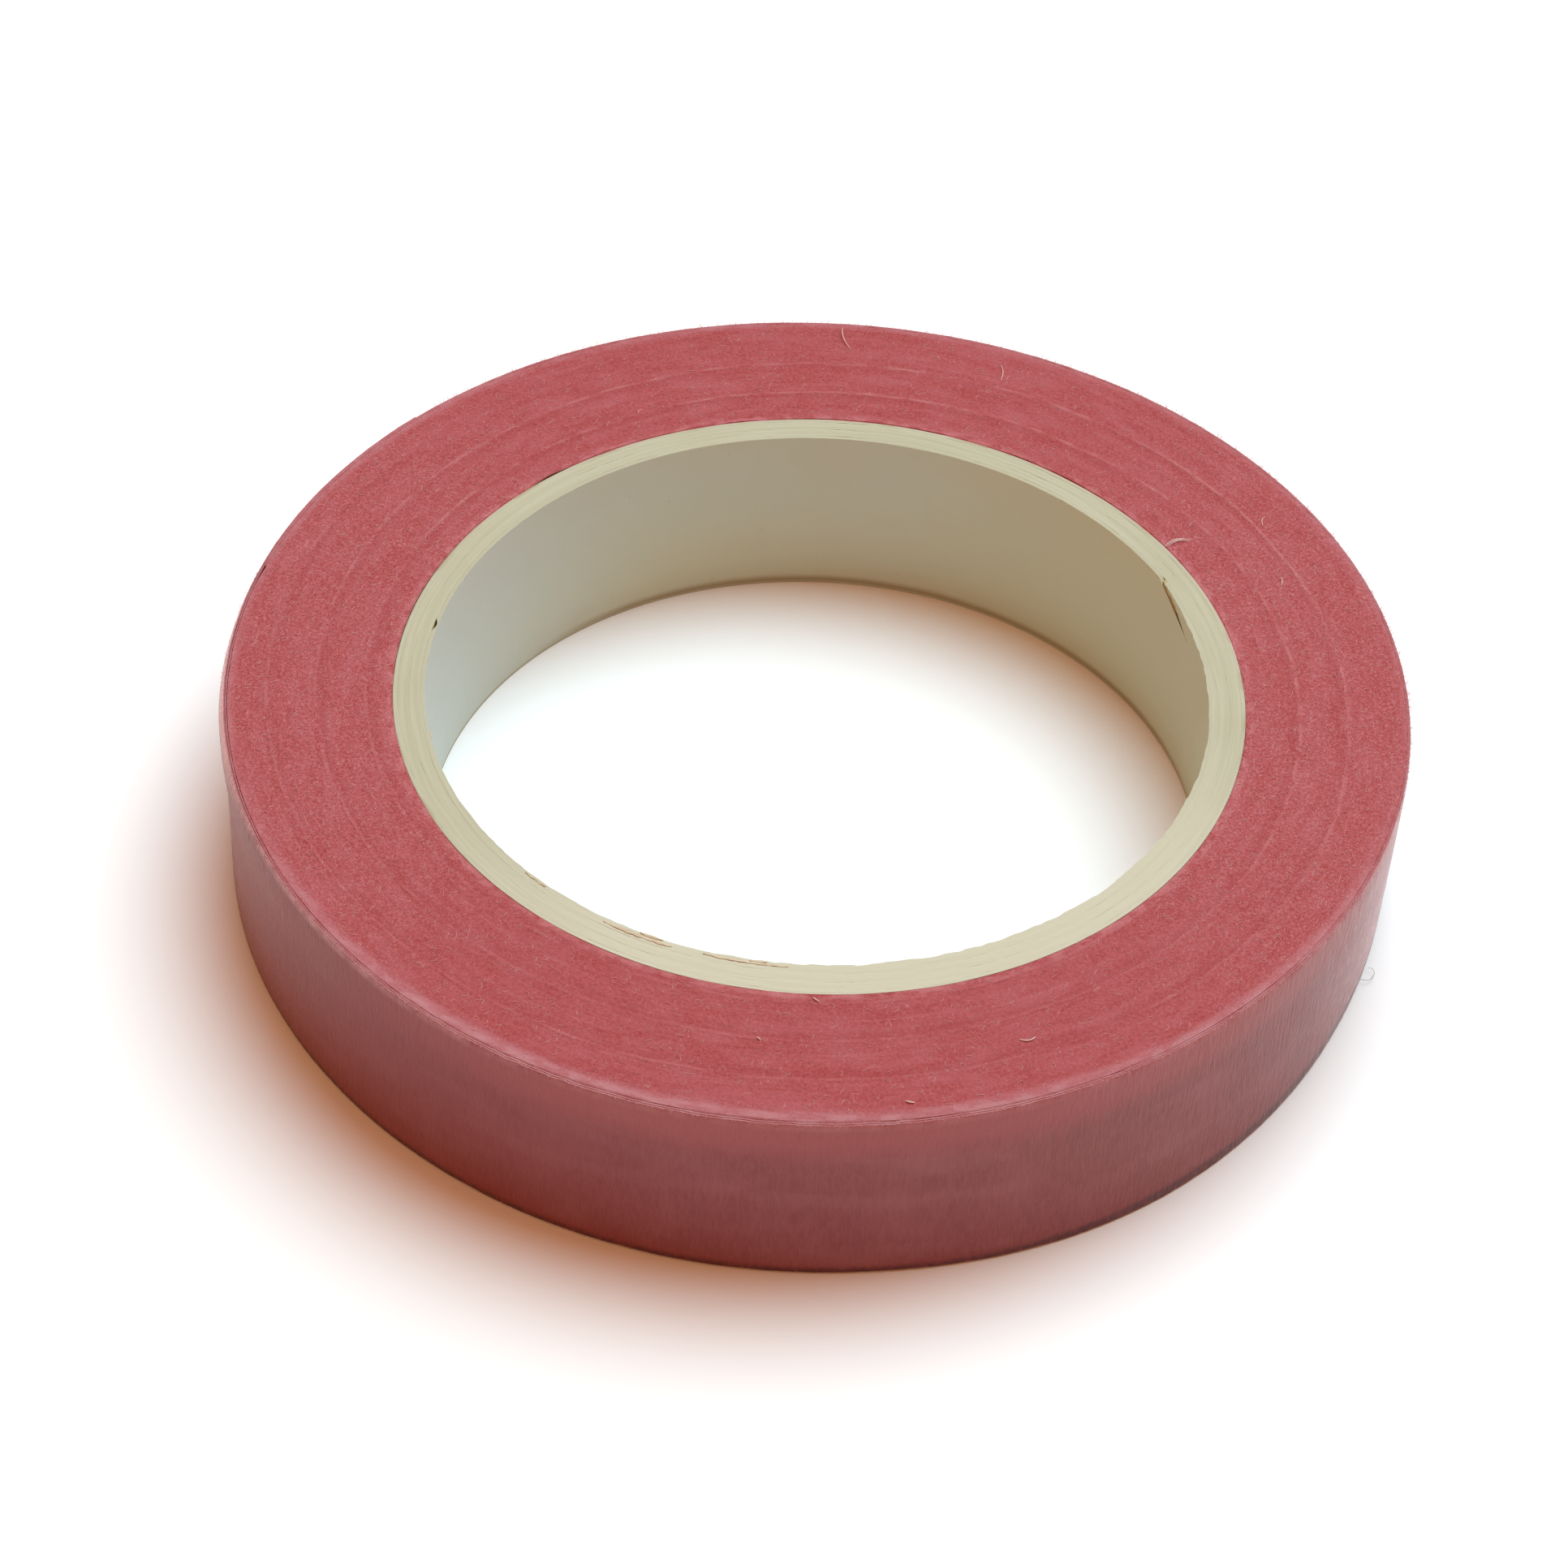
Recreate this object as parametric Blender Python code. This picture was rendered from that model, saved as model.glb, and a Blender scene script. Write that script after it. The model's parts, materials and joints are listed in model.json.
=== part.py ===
"""Roll of rose-coloured crepe masking tape, lying flat on a table.

Frame: metres, +Z up, origin at the centre of the roll's lower face, so the
roll's own axis is +Z. Angles are measured round +Z from +X.

The tape is one long strip wound on a spiral-wound paperboard tube. Radii grow
outwards: tube plies, first turn of tape, packed turns, two loose outer turns,
and the free end of the strip, which peels off as a chain of short segments.
"""

import math

import bmesh
import bpy
from mathutils import Vector

# ---------------------------------------------------------------- driving sizes
TAPE_WIDTH = 0.0195
CORE_BORE_RADIUS = 0.0381
CORE_WALL = 0.0030
ROLL_RADIUS = 0.0572
TAPE_THICKNESS = 0.00015
GAP = 0.0003

# Paperboard tube: thin liner, two board plies, thin outer ply.
THIN_PLY = 0.0004
BOARD_PLY = (CORE_WALL - 2 * THIN_PLY - 3 * GAP) / 2
PLY_SEAM_PITCH = math.radians(25)
PLY_SEAM_GAP = 0.0004
PLY_TIP_HEIGHT = 0.0004

# Where each ply's seam meets the roll's upper face.
LINER_SEAM = math.radians(28)
BOARD_SEAM_1 = math.radians(118)
BOARD_SEAM_2 = math.radians(208)
OUTER_PLY_SEAM = math.radians(298)

# Tape: the strip starts on the tube here, and its free end lies here.
TAPE_START = math.radians(131)
FREE_END = math.radians(138)
TAIL_SEGMENTS = 6
TAIL_SEGMENT_SWEEP = math.radians(4.6)
TURN_PITCH = TAPE_THICKNESS + GAP

PACK_EDGE_ROUND = 0.0004
EDGE_ROUND_STEPS = 2

FULL_TURN = 2 * math.pi
FACET = FULL_TURN / 144

TUBE_RADIUS = CORE_BORE_RADIUS + CORE_WALL
TAIL_ROOT = FREE_END + TAIL_SEGMENTS * TAIL_SEGMENT_SWEEP

# ---------------------------------------------------------------------- finishes
BOARD_CREAM = (0.64, 0.60, 0.46)
LINER_GREY = (0.45, 0.42, 0.34)
CREPE_ROSE = (0.47, 0.11, 0.12)
CREPE_ROSE_PALE = (0.50, 0.19, 0.20)


def clear_scene():
    for old in list(bpy.data.objects):
        bpy.data.objects.remove(old, do_unlink=True)


def make_material(name, colour, roughness):
    material = bpy.data.materials.new(name)
    material.use_nodes = True
    surface = material.node_tree.nodes["Principled BSDF"]
    surface.inputs["Base Color"].default_value = (*colour, 1.0)
    surface.inputs["Roughness"].default_value = roughness
    surface.inputs["Metallic"].default_value = 0.0
    material.diffuse_color = (*colour, 1.0)
    return material


def polar(radius, angle, height):
    return Vector((radius * math.cos(angle), radius * math.sin(angle), height))


def place_mesh(name, bm, material, origin=Vector((0.0, 0.0, 0.0))):
    """Close up a bmesh built in world space as an object whose origin is given."""
    bmesh.ops.recalc_face_normals(bm, faces=bm.faces)
    bmesh.ops.translate(bm, verts=bm.verts, vec=-origin)
    mesh = bpy.data.meshes.new(name)
    bm.to_mesh(mesh)
    bm.free()
    mesh.shade_smooth()
    mesh.set_sharp_from_angle(angle=math.radians(30))
    mesh.materials.append(material)
    obj = bpy.data.objects.new(name, mesh)
    obj.location = origin
    bpy.context.scene.collection.objects.link(obj)
    return obj


def bridge_sections(bm, first, second):
    """Join two loops of vertices, one quad for each side of the section."""
    count = len(first)
    for side in range(count):
        after = (side + 1) % count
        bm.faces.new((first[side], first[after], second[after], second[side]))


def wound_strip(name, material, start, end, inner_radius, thickness,
                low=None, high=None, origin=Vector((0.0, 0.0, 0.0))):
    """A strip bent round +Z from one angle to another.

    inner_radius, low and high are functions of the angle, so the strip may
    spiral and its edges may slope.
    """
    low = low or (lambda angle: 0.0)
    high = high or (lambda angle: TAPE_WIDTH)
    steps = max(1, math.ceil(abs(end - start) / FACET))
    bm = bmesh.new()
    sections = []
    for step in range(steps + 1):
        angle = start + (end - start) * step / steps
        inner = inner_radius(angle)
        outer = inner + thickness
        corners = ((inner, low(angle)), (outer, low(angle)),
                   (outer, high(angle)), (inner, high(angle)))
        sections.append([bm.verts.new(polar(r, angle, z)) for r, z in corners])
    for before, after in zip(sections, sections[1:]):
        bridge_sections(bm, before, after)
    bm.faces.new(sections[0])
    bm.faces.new(sections[-1])
    return place_mesh(name, bm, material, origin)


def tube_ply(name, material, inner_radius, thickness, seam_top):
    """One helical ply of the paperboard tube, as long as the tape is wide.

    Its butt seam slopes down from seam_top on the upper face, so the ply is a
    parallelogram bent into a ring, with pointed ends on either side of the seam.
    """
    slope = math.tan(PLY_SEAM_PITCH) * (inner_radius + thickness / 2)
    half_gap = PLY_SEAM_GAP / (2 * math.cos(PLY_SEAM_PITCH))

    def seam_height(angle):
        return TAPE_WIDTH - slope * (seam_top - angle)

    def seam_angle(height):
        return seam_top - (TAPE_WIDTH - height) / slope

    def low(angle):
        return max(0.0, seam_height(angle - FULL_TURN) + half_gap)

    def high(angle):
        return min(TAPE_WIDTH, seam_height(angle) - half_gap)

    start = seam_angle(PLY_TIP_HEIGHT + half_gap)
    end = FULL_TURN + seam_angle(TAPE_WIDTH - PLY_TIP_HEIGHT - half_gap)
    return wound_strip(name, material, start, end, lambda angle: inner_radius,
                       thickness, low, high)


def rounded_ring(name, material, inner_radius, outer_radius):
    """The packed turns: a flat ring whose outer edges are slightly rounded."""
    profile = [(inner_radius, 0.0)]
    corners = ((0.0 + PACK_EDGE_ROUND, -math.pi / 2), (TAPE_WIDTH - PACK_EDGE_ROUND, 0.0))
    for centre_height, first_angle in corners:
        for step in range(EDGE_ROUND_STEPS + 1):
            turn = first_angle + math.pi / 2 * step / EDGE_ROUND_STEPS
            radius = outer_radius - PACK_EDGE_ROUND + PACK_EDGE_ROUND * math.cos(turn)
            profile.append((radius, centre_height + PACK_EDGE_ROUND * math.sin(turn)))
    profile.append((inner_radius, TAPE_WIDTH))

    bm = bmesh.new()
    facets = round(FULL_TURN / FACET)
    loops = []
    for facet in range(facets):
        angle = facet * FACET
        loops.append([bm.verts.new(polar(r, angle, z)) for r, z in profile])
    for facet in range(facets):
        bridge_sections(bm, loops[facet], loops[(facet + 1) % facets])
    return place_mesh(name, bm, material)


# ------------------------------------------------------------------- paperboard tube
def make_tube():
    board = make_material("paperboard", BOARD_CREAM, 0.85)
    liner = make_material("liner_paper", LINER_GREY, 0.80)
    plies = (
        ("core_liner_ply", liner, THIN_PLY, LINER_SEAM),
        ("core_board_ply_inner", board, BOARD_PLY, BOARD_SEAM_1),
        ("core_board_ply_outer", board, BOARD_PLY, BOARD_SEAM_2),
        ("core_outer_ply", board, THIN_PLY, OUTER_PLY_SEAM),
    )
    radius = CORE_BORE_RADIUS
    for name, material, thickness, seam in plies:
        tube_ply(name, material, radius, thickness, seam)
        radius += thickness + GAP


# -------------------------------------------------------------------- wound turns
def outer_turn_radius(angle):
    """Inner radius of the outermost turns, which shrink as the angle grows."""
    outermost = ROLL_RADIUS - TAPE_THICKNESS
    return outermost - TURN_PITCH * (angle - FREE_END) / FULL_TURN


def make_fixed_turns(crepe):
    def first_turn_radius(angle):
        return TUBE_RADIUS + GAP + TURN_PITCH * (TAPE_START - angle) / FULL_TURN

    wound_strip("tape_first_turn", crepe, TAPE_START - FULL_TURN, TAPE_START,
                first_turn_radius, TAPE_THICKNESS)

    turn_1_start = TAIL_ROOT + GAP / ROLL_RADIUS
    turn_2_start = turn_1_start + FULL_TURN
    pack_inner = first_turn_radius(TAPE_START - FULL_TURN) + TAPE_THICKNESS + GAP
    pack_outer = outer_turn_radius(turn_2_start + FULL_TURN) - GAP
    rounded_ring("tape_packed_turns", crepe, pack_inner, pack_outer)
    wound_strip("tape_outer_turn_2", crepe, turn_2_start + GAP / ROLL_RADIUS,
                turn_2_start + FULL_TURN, outer_turn_radius, TAPE_THICKNESS)
    wound_strip("tape_outer_turn_1", crepe, turn_1_start, turn_2_start,
                outer_turn_radius, TAPE_THICKNESS)


# ----------------------------------------------------------------------- free end
def make_tail(crepe_pale):
    """The last stretch of the strip, cut into segments that hinge outwards.

    Each hinge lies on the outer surface at the segment's root, so the outer
    corners just meet there and the inner, sticky side opens.
    """
    parent = None
    half_gap = GAP / (2 * ROLL_RADIUS)
    for number in range(1, TAIL_SEGMENTS + 1):
        root = TAIL_ROOT - (number - 1) * TAIL_SEGMENT_SWEEP
        tip = root - TAIL_SEGMENT_SWEEP
        hinge_radius = outer_turn_radius(root) + TAPE_THICKNESS
        hinge = polar(hinge_radius, root, TAPE_WIDTH / 2)
        segment = wound_strip(f"tape_tail_{number}", crepe_pale, root - half_gap,
                              tip + half_gap, outer_turn_radius, TAPE_THICKNESS,
                              origin=hinge)
        if parent is not None:
            segment.parent = parent
            segment.location = hinge - parent_hinge
        parent = segment
        parent_hinge = hinge


def main():
    clear_scene()
    crepe = make_material("crepe_paper", CREPE_ROSE, 0.55)
    crepe_pale = make_material("crepe_paper_free_end", CREPE_ROSE_PALE, 0.55)
    make_tube()
    make_fixed_turns(crepe)
    make_tail(crepe_pale)


main()
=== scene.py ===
"""Looks of the tape roll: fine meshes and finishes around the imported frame.

Lengths are metres and angles radians, in the frame's own axes: the roll lies on
z = 0 with its own axis on +Z. A running angle grows along the strip from its
free end inwards, so a stretch one turn further in is a full turn larger.
"""
import json
import math

import bpy
import numpy as np
from mathutils import Matrix, Vector

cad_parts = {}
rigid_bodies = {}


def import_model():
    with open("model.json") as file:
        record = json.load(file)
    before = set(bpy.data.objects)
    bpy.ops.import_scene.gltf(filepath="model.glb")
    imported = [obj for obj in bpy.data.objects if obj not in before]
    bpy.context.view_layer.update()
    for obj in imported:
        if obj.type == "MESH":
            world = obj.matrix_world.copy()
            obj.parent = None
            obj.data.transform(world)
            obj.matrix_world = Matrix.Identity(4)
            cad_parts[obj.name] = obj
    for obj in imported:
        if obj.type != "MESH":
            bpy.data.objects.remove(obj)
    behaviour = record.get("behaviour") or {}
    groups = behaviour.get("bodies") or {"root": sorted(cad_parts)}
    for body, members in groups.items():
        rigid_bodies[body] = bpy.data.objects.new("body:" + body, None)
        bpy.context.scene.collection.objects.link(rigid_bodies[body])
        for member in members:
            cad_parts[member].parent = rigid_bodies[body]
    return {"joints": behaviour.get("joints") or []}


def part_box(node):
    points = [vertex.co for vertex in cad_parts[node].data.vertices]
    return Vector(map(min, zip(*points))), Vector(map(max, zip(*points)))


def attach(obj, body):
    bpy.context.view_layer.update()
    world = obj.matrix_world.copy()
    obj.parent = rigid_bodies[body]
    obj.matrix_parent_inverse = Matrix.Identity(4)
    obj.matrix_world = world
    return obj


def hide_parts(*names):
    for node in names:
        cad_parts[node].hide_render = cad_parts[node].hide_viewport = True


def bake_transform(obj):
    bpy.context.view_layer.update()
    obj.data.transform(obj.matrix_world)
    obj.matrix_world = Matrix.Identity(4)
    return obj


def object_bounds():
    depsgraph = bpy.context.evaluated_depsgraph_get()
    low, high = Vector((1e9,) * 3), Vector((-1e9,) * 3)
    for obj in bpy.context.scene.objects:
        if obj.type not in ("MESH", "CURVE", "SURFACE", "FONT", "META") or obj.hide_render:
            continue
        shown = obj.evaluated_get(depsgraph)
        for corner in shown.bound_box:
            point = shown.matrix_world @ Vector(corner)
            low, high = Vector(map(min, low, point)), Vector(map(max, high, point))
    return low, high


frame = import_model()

CAD_LOW, CAD_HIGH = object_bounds()
MM = 0.001
FULL_TURN = 2 * math.pi
SMOOTH_ANGLE = math.radians(50)

# ------ sizes from the frame
WIDTH = CAD_HIGH.z - CAD_LOW.z
HINGES = [Vector(joint["pos_m"]) for joint in frame["joints"]]
BODIES = [frame["joints"][0]["parent"]] + [joint["child"] for joint in frame["joints"]]
SEGMENTS = len(HINGES)

LINER_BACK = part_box("core_liner_ply")[1].y
TUBE_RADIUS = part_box("core_outer_ply")[1].y
PLY_THICKNESS = 0.40 * MM
BORE_RADIUS = LINER_BACK - PLY_THICKNESS


def angle_of(point):
    return math.atan2(point.y, point.x) % FULL_TURN


HINGE_ANGLES = [angle_of(hinge) for hinge in HINGES]
SEGMENT_SWEEP = HINGE_ANGLES[0] - HINGE_ANGLES[1]
TAIL_ROOT = HINGE_ANGLES[0]
FREE_END = TAIL_ROOT - SEGMENTS * SEGMENT_SWEEP

# ------ sizes of the tape
ROLL_RADIUS = 57.26 * MM
TAPE_THICKNESS = 0.13 * MM
TURN_PITCH = 0.14 * MM
TAPE_START = math.radians(131)

# The tube and the first turn end just short of the table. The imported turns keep
# clear of their neighbours, and their hidden lower rim is rounded.
OFF_TABLE = 0.02 * MM
PACK_CLEARANCE = 0.01 * MM
PACK_FOOT_ROUNDING = 0.25 * MM

# The slit face falls away at its rim, and the turns lean in below it. Both go
# further along the front, where the rim is rubbed round.
SHOULDER = 0.50 * MM
SHOULDER_FALL = 0.14 * MM
BEND_HEIGHT = 0.80 * MM
BEND_DEPTH = 0.14 * MM
LOWER_BEND = 0.06 * MM
RUBBED_FROM = math.radians(196)
RUBBED_TO = math.radians(352)
RUBBED_SHOULDER = 1.30 * MM
RUBBED_FALL = 0.42 * MM
RUBBED_BEND = 0.24 * MM

# Waves of the roll's outline: count round the roll, size, and phase.
OUT_OF_ROUND = ((1, 0.31 * MM, math.radians(110)),
                (2, 0.09 * MM, math.radians(155)),
                (3, 0.15 * MM, math.radians(56)))

# How far the foot stands out from the upper outline, and over which stretches:
# size, start, end, and the power that the stretch's window is raised to.
FOOT_SHIFTS = ((0.34 * MM, math.radians(190), math.radians(335), 0.4),
               (0.34 * MM, math.radians(272), math.radians(322), 1.0),
               (-0.78 * MM, math.radians(306), math.radians(378), 1.0))

# The two outer turns stand off the roll over this stretch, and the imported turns
# bulge there. The outermost stands off by the sizes given here: it opens down to
# the first depth below its edge, and closes between the other two. The second
# turn follows by a part of them.
LOOSE_FROM = math.radians(146)
LOOSE_TO = math.radians(218)
LOOSE_AT_EDGE = 0.07 * MM
LOOSE_BELOW = 0.52 * MM
LOOSE_DEPTHS = (1.3 * MM, 2.0 * MM, 7.0 * MM)
LOOSE_SECOND_TURN = 0.4
LOOSE_ROLL = 0.12 * MM

# A faint crease that spirals inwards over the face, slightly off centre.
CREASE_OUTER = 53.79 * MM
CREASE_INNER = 41.90 * MM
CREASE_PITCH = 4.72 * MM
CREASE_START = math.radians(150)
CREASE_OFFSET = 0.47 * MM
CREASE_HALF_WIDTH = 0.26 * MM

# Seam of the tube's liner: a gap at the top that closes lower down.
LINER_SEAM = math.radians(28.7)
SEAM_SLOPE = math.tan(math.radians(25))
SEAM_GAP = 1.90 * MM
SEAM_CLOSES = 1.6 * MM
CLOSED_SEAM_GAP = 0.02 * MM


# ------ number fields
def value_noise(seed, u, v, cells_u, cells_v):
    """Smooth noise from -1 to 1 that repeats every whole unit of u and of v."""
    table = np.random.default_rng(seed).uniform(-1, 1, (cells_u, cells_v))
    u, v = np.broadcast_arrays(u * cells_u, v * cells_v)
    iu, iv = np.floor(u).astype(int), np.floor(v).astype(int)
    fu, fv = u - iu, v - iv
    fu, fv = fu * fu * (3 - 2 * fu), fv * fv * (3 - 2 * fv)
    iu, iv = iu % cells_u, iv % cells_v
    ju, jv = (iu + 1) % cells_u, (iv + 1) % cells_v
    near = table[iu, iv] * (1 - fv) + table[iu, jv] * fv
    far = table[ju, iv] * (1 - fv) + table[ju, jv] * fv
    return near * (1 - fu) + far * fu


def round_noise(seed, angle, cells):
    """Smooth noise from -1 to 1 round the roll."""
    return value_noise(seed, angle / FULL_TURN, 0 * angle, cells, 1)


def bump_window(angle, start, end):
    """0 outside a stretch of the circle, rising smoothly to 1 at its middle."""
    share = ((angle - start) % FULL_TURN) / ((end - start) % FULL_TURN)
    return np.where(share < 1, np.sin(np.pi * np.clip(share, 0, 1)) ** 2, 0.0)


def smooth_step(value, low, high):
    share = np.clip((value - low) / (high - low), 0, 1)
    return share * share * (3 - 2 * share)


def polar(radius, angle, height):
    radius, angle, height = np.broadcast_arrays(radius, angle, height)
    return np.stack([radius * np.cos(angle), radius * np.sin(angle), height], axis=-1)


# ------ mesh making
def add_mesh(name, points, faces, materials, slots=None):
    """A mesh object that remembers where its points lie at rest, in millimetres."""
    mesh = bpy.data.meshes.new(name)
    mesh.from_pydata(points.tolist(), [], faces)
    if slots is not None:
        mesh.polygons.foreach_set("material_index", np.asarray(slots, np.int32))
    rest = mesh.attributes.new("rest_mm", "FLOAT_VECTOR", "POINT")
    rest.data.foreach_set("vector", (points / MM).astype(np.float32).ravel())
    mesh.shade_smooth()
    mesh.set_sharp_from_angle(angle=SMOOTH_ANGLE)
    for material in materials:
        mesh.materials.append(material)
    piece = bpy.data.objects.new(name, mesh)
    bpy.context.scene.collection.objects.link(piece)
    return piece


def loft(name, sections, materials, closed, slots=None):
    """A closed skin through sections x points, whose sections are closed loops.

    An open loft has a flat cap on each end. slots gives each side of the loop a
    material index.
    """
    count, around = sections.shape[:2]
    first = np.arange(count if closed else count - 1)[:, None] * around
    second = (first + around) % (count * around)
    side = np.arange(around)
    after = (side + 1) % around
    quads = np.stack([first + side, first + after, second + after, second + side],
                     axis=-1).reshape(-1, 4)
    points = sections.reshape(-1, 3)
    a, b, c, d = (points[quads[:, k]] for k in range(4))
    inside_out = (np.cross(a, b) * c).sum() + (np.cross(a, c) * d).sum() < 0
    faces = quads[:, ::-1].tolist() if inside_out else quads.tolist()
    indices = np.tile(np.zeros(around, int) if slots is None else np.asarray(slots), len(first))
    if not closed:
        near, far = side[::-1].tolist(), (side + (count - 1) * around).tolist()
        faces += [near[::-1], far[::-1]] if inside_out else [near, far]
        indices = np.append(indices, (0, 0))
    return add_mesh(name, points, faces, materials, indices)


def fibres(name, paths, half_width, material):
    """Thin square-sided hairs along paths, an array of hairs x points x 3."""
    along = np.gradient(paths, axis=1)
    along /= np.linalg.norm(along, axis=-1, keepdims=True)
    aside = np.cross(along, (0.13, 0.21, 0.97))
    aside /= np.linalg.norm(aside, axis=-1, keepdims=True)
    upward = np.cross(aside, along)
    hairs, count = paths.shape[:2]
    taper = np.sin(np.linspace(0.12, 0.88, count) * np.pi) ** 0.5
    size = (half_width[:, None] * taper)[..., None]
    corners = [paths + size * aside, paths + size * upward,
               paths - size * aside, paths - size * upward]
    points = np.stack(corners, axis=2).reshape(-1, 3)
    start = (np.arange(hairs * count).reshape(hairs, count) * 4)[:, :-1, None]
    side = np.arange(4)
    after = (side + 1) % 4
    quads = np.stack([start + side, start + 4 + side, start + 4 + after, start + after],
                     axis=-1).reshape(-1, 4)
    tips = np.arange(hairs)[:, None] * count * 4
    caps = np.concatenate([tips + side, tips + (count - 1) * 4 + side[::-1]])
    return add_mesh(name, points, np.concatenate([quads, caps]).tolist(), (material,))


def fix(piece, slot, *nodes):
    """Makes a piece of the wound roll: it stays with the roll's own body."""
    if nodes:
        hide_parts(*nodes)
    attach(piece, BODIES[0])


# ------ finishes
class Finish:
    """A Principled material, with short calls for the nodes that the finishes share."""

    def __init__(self, name, roughness, specular=0.5):
        self.material = bpy.data.materials.new(name)
        self.material.use_nodes = True
        self.tree = self.material.node_tree
        self.surface = self.tree.nodes["Principled BSDF"]
        self.surface.inputs["Roughness"].default_value = roughness
        self.surface.inputs["Specular IOR Level"].default_value = specular

    def node(self, kind, inputs=None, **settings):
        made = self.tree.nodes.new(kind)
        for key, value in settings.items():
            setattr(made, key, value)
        for key, value in (inputs or {}).items():
            self.feed(made.inputs[key], value)
        return made

    def feed(self, socket, value):
        """Links a socket's value, sets a constant, or leaves None alone."""
        if isinstance(value, bpy.types.NodeSocket):
            self.tree.links.new(value, socket)
        elif value is not None:
            socket.default_value = value

    def rest(self):
        """Place of the surface at rest in mm, so a finish follows its moving piece."""
        return self.node("ShaderNodeAttribute", attribute_name="rest_mm").outputs["Vector"]

    def vector(self, operation, a, b=None):
        made = self.node("ShaderNodeVectorMath", {0: a}, operation=operation)
        if b is not None:
            self.feed(made.inputs[1], b)
        return made.outputs["Value" if operation == "LENGTH" else "Vector"]

    def math(self, operation, a, b=None):
        made = self.node("ShaderNodeMath", {0: a}, operation=operation)
        if b is not None:
            self.feed(made.inputs[1], b)
        return made.outputs[0]

    def toward(self, angle):
        """1 where the surface lies in this direction from the roll's axis, else less."""
        made = self.node("ShaderNodeVectorMath", {0: self.vector("NORMALIZE", self.flat()),
                                                  1: (math.cos(angle), math.sin(angle), 0)},
                         operation="DOT_PRODUCT")
        return made.outputs["Value"]

    def split(self, vector):
        made = self.node("ShaderNodeSeparateXYZ", {0: vector})
        return made.outputs["X"], made.outputs["Y"], made.outputs["Z"]

    def flat(self):
        return self.vector("MULTIPLY", self.rest(), (1, 1, 0))

    def radius(self):
        """Distance from the roll's axis in mm."""
        return self.vector("LENGTH", self.flat())

    def height(self):
        """Height above the roll's lower face in mm."""
        return self.split(self.rest())[2]

    def wound(self, arc_mm, radial_mm):
        """Texture place whose grain is arc_mm long round the roll, radial_mm across."""
        around = ROLL_RADIUS / MM / arc_mm
        turn = self.vector("MULTIPLY", self.vector("NORMALIZE", self.flat()),
                           (around, around, 0))
        across = self.math("MULTIPLY", self.radius(), 1 / radial_mm)
        radial = self.node("ShaderNodeCombineXYZ", {"Z": across}).outputs[0]
        return self.vector("ADD", turn, radial)

    def noise(self, place, scale=1.0, detail=2.0, distortion=0.0):
        made = self.node("ShaderNodeTexNoise", {"Vector": place, "Scale": scale,
                                                "Detail": detail, "Distortion": distortion})
        return made.outputs["Fac"]

    def ramp(self, value, low, high, to_low=0.0, to_high=1.0):
        """A smooth step: to_low below low, to_high above high."""
        made = self.node("ShaderNodeMapRange", {
            "Value": value, "From Min": low, "From Max": high,
            "To Min": to_low, "To Max": to_high}, interpolation_type="SMOOTHSTEP")
        return made.outputs["Result"]

    def strands(self, place, scale, width):
        """Thin curly lines: the level lines of a noise, broken up by another."""
        level = self.noise(place, scale, detail=1.5, distortion=1.4)
        off_line = self.math("ABSOLUTE", self.math("SUBTRACT", level, 0.5))
        line = self.ramp(off_line, width * 0.3, width, 1.0, 0.0)
        broken = self.ramp(self.noise(place, scale * 1.3, detail=1.0), 0.44, 0.56)
        return self.both(line, broken)

    def both(self, *shares):
        """The product of shares, so 1 only where each of them is."""
        product = shares[0]
        for share in shares[1:]:
            product = self.math("MULTIPLY", product, share)
        return product

    def mix(self, share, first, second):
        """The first colour, going over to the second as the share grows to 1."""
        made = self.node("ShaderNodeMix", data_type="RGBA")
        self.feed(made.inputs["Factor"], share)
        colours = [s for s in made.inputs if s.type == "RGBA"]
        for socket, colour in zip(colours, (first, second)):
            self.feed(socket, (*colour, 1.0) if isinstance(colour, tuple) else colour)
        return next(s for s in made.outputs if s.type == "RGBA")

    def bump(self, height, depth_mm, below=None):
        """Normal of a relief of this depth, laid over the one below."""
        made = self.node("ShaderNodeBump", {"Height": height, "Normal": below,
                                            "Strength": 1.0, "Distance": depth_mm * MM})
        return made.outputs["Normal"]

    def finish(self, colour, normal, roughness=None):
        self.feed(self.surface.inputs["Base Color"], colour)
        self.feed(self.surface.inputs["Normal"], normal)
        self.feed(self.surface.inputs["Roughness"], roughness)
        return self.material


# Colours, as linear red, green and blue.
ROSE = (0.360, 0.071, 0.075)
ROSE_DEEP = (0.264, 0.037, 0.041)
ROSE_FIBRE = (0.560, 0.240, 0.250)
ROSE_HAZE = (0.385, 0.107, 0.120)
# Outer rim of the face: fuzz and painted sheen.
RIM_HAZE = (0.465, 0.224, 0.245)
WALL_ROSE = (0.245, 0.052, 0.059)
# Painted shade for the hollows of the wall's folds.
WALL_FOLD_SHADE = (0.208, 0.036, 0.041)
WALL_PALE = (0.335, 0.120, 0.135)
WALL_FRESH = (0.350, 0.070, 0.078)
# Painted light for the upper outer side of the loose turns.
WALL_LIT_BAND = (0.720, 0.450, 0.460)
# Painted sheen for the wall's grazing far side.
WALL_SHEEN = (0.680, 0.440, 0.480)
# Wall's upper edge: worn fuzz and painted sheen.
WALL_EDGE = (0.490, 0.245, 0.270)
WALL_SHADED = (0.215, 0.020, 0.020)
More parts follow.
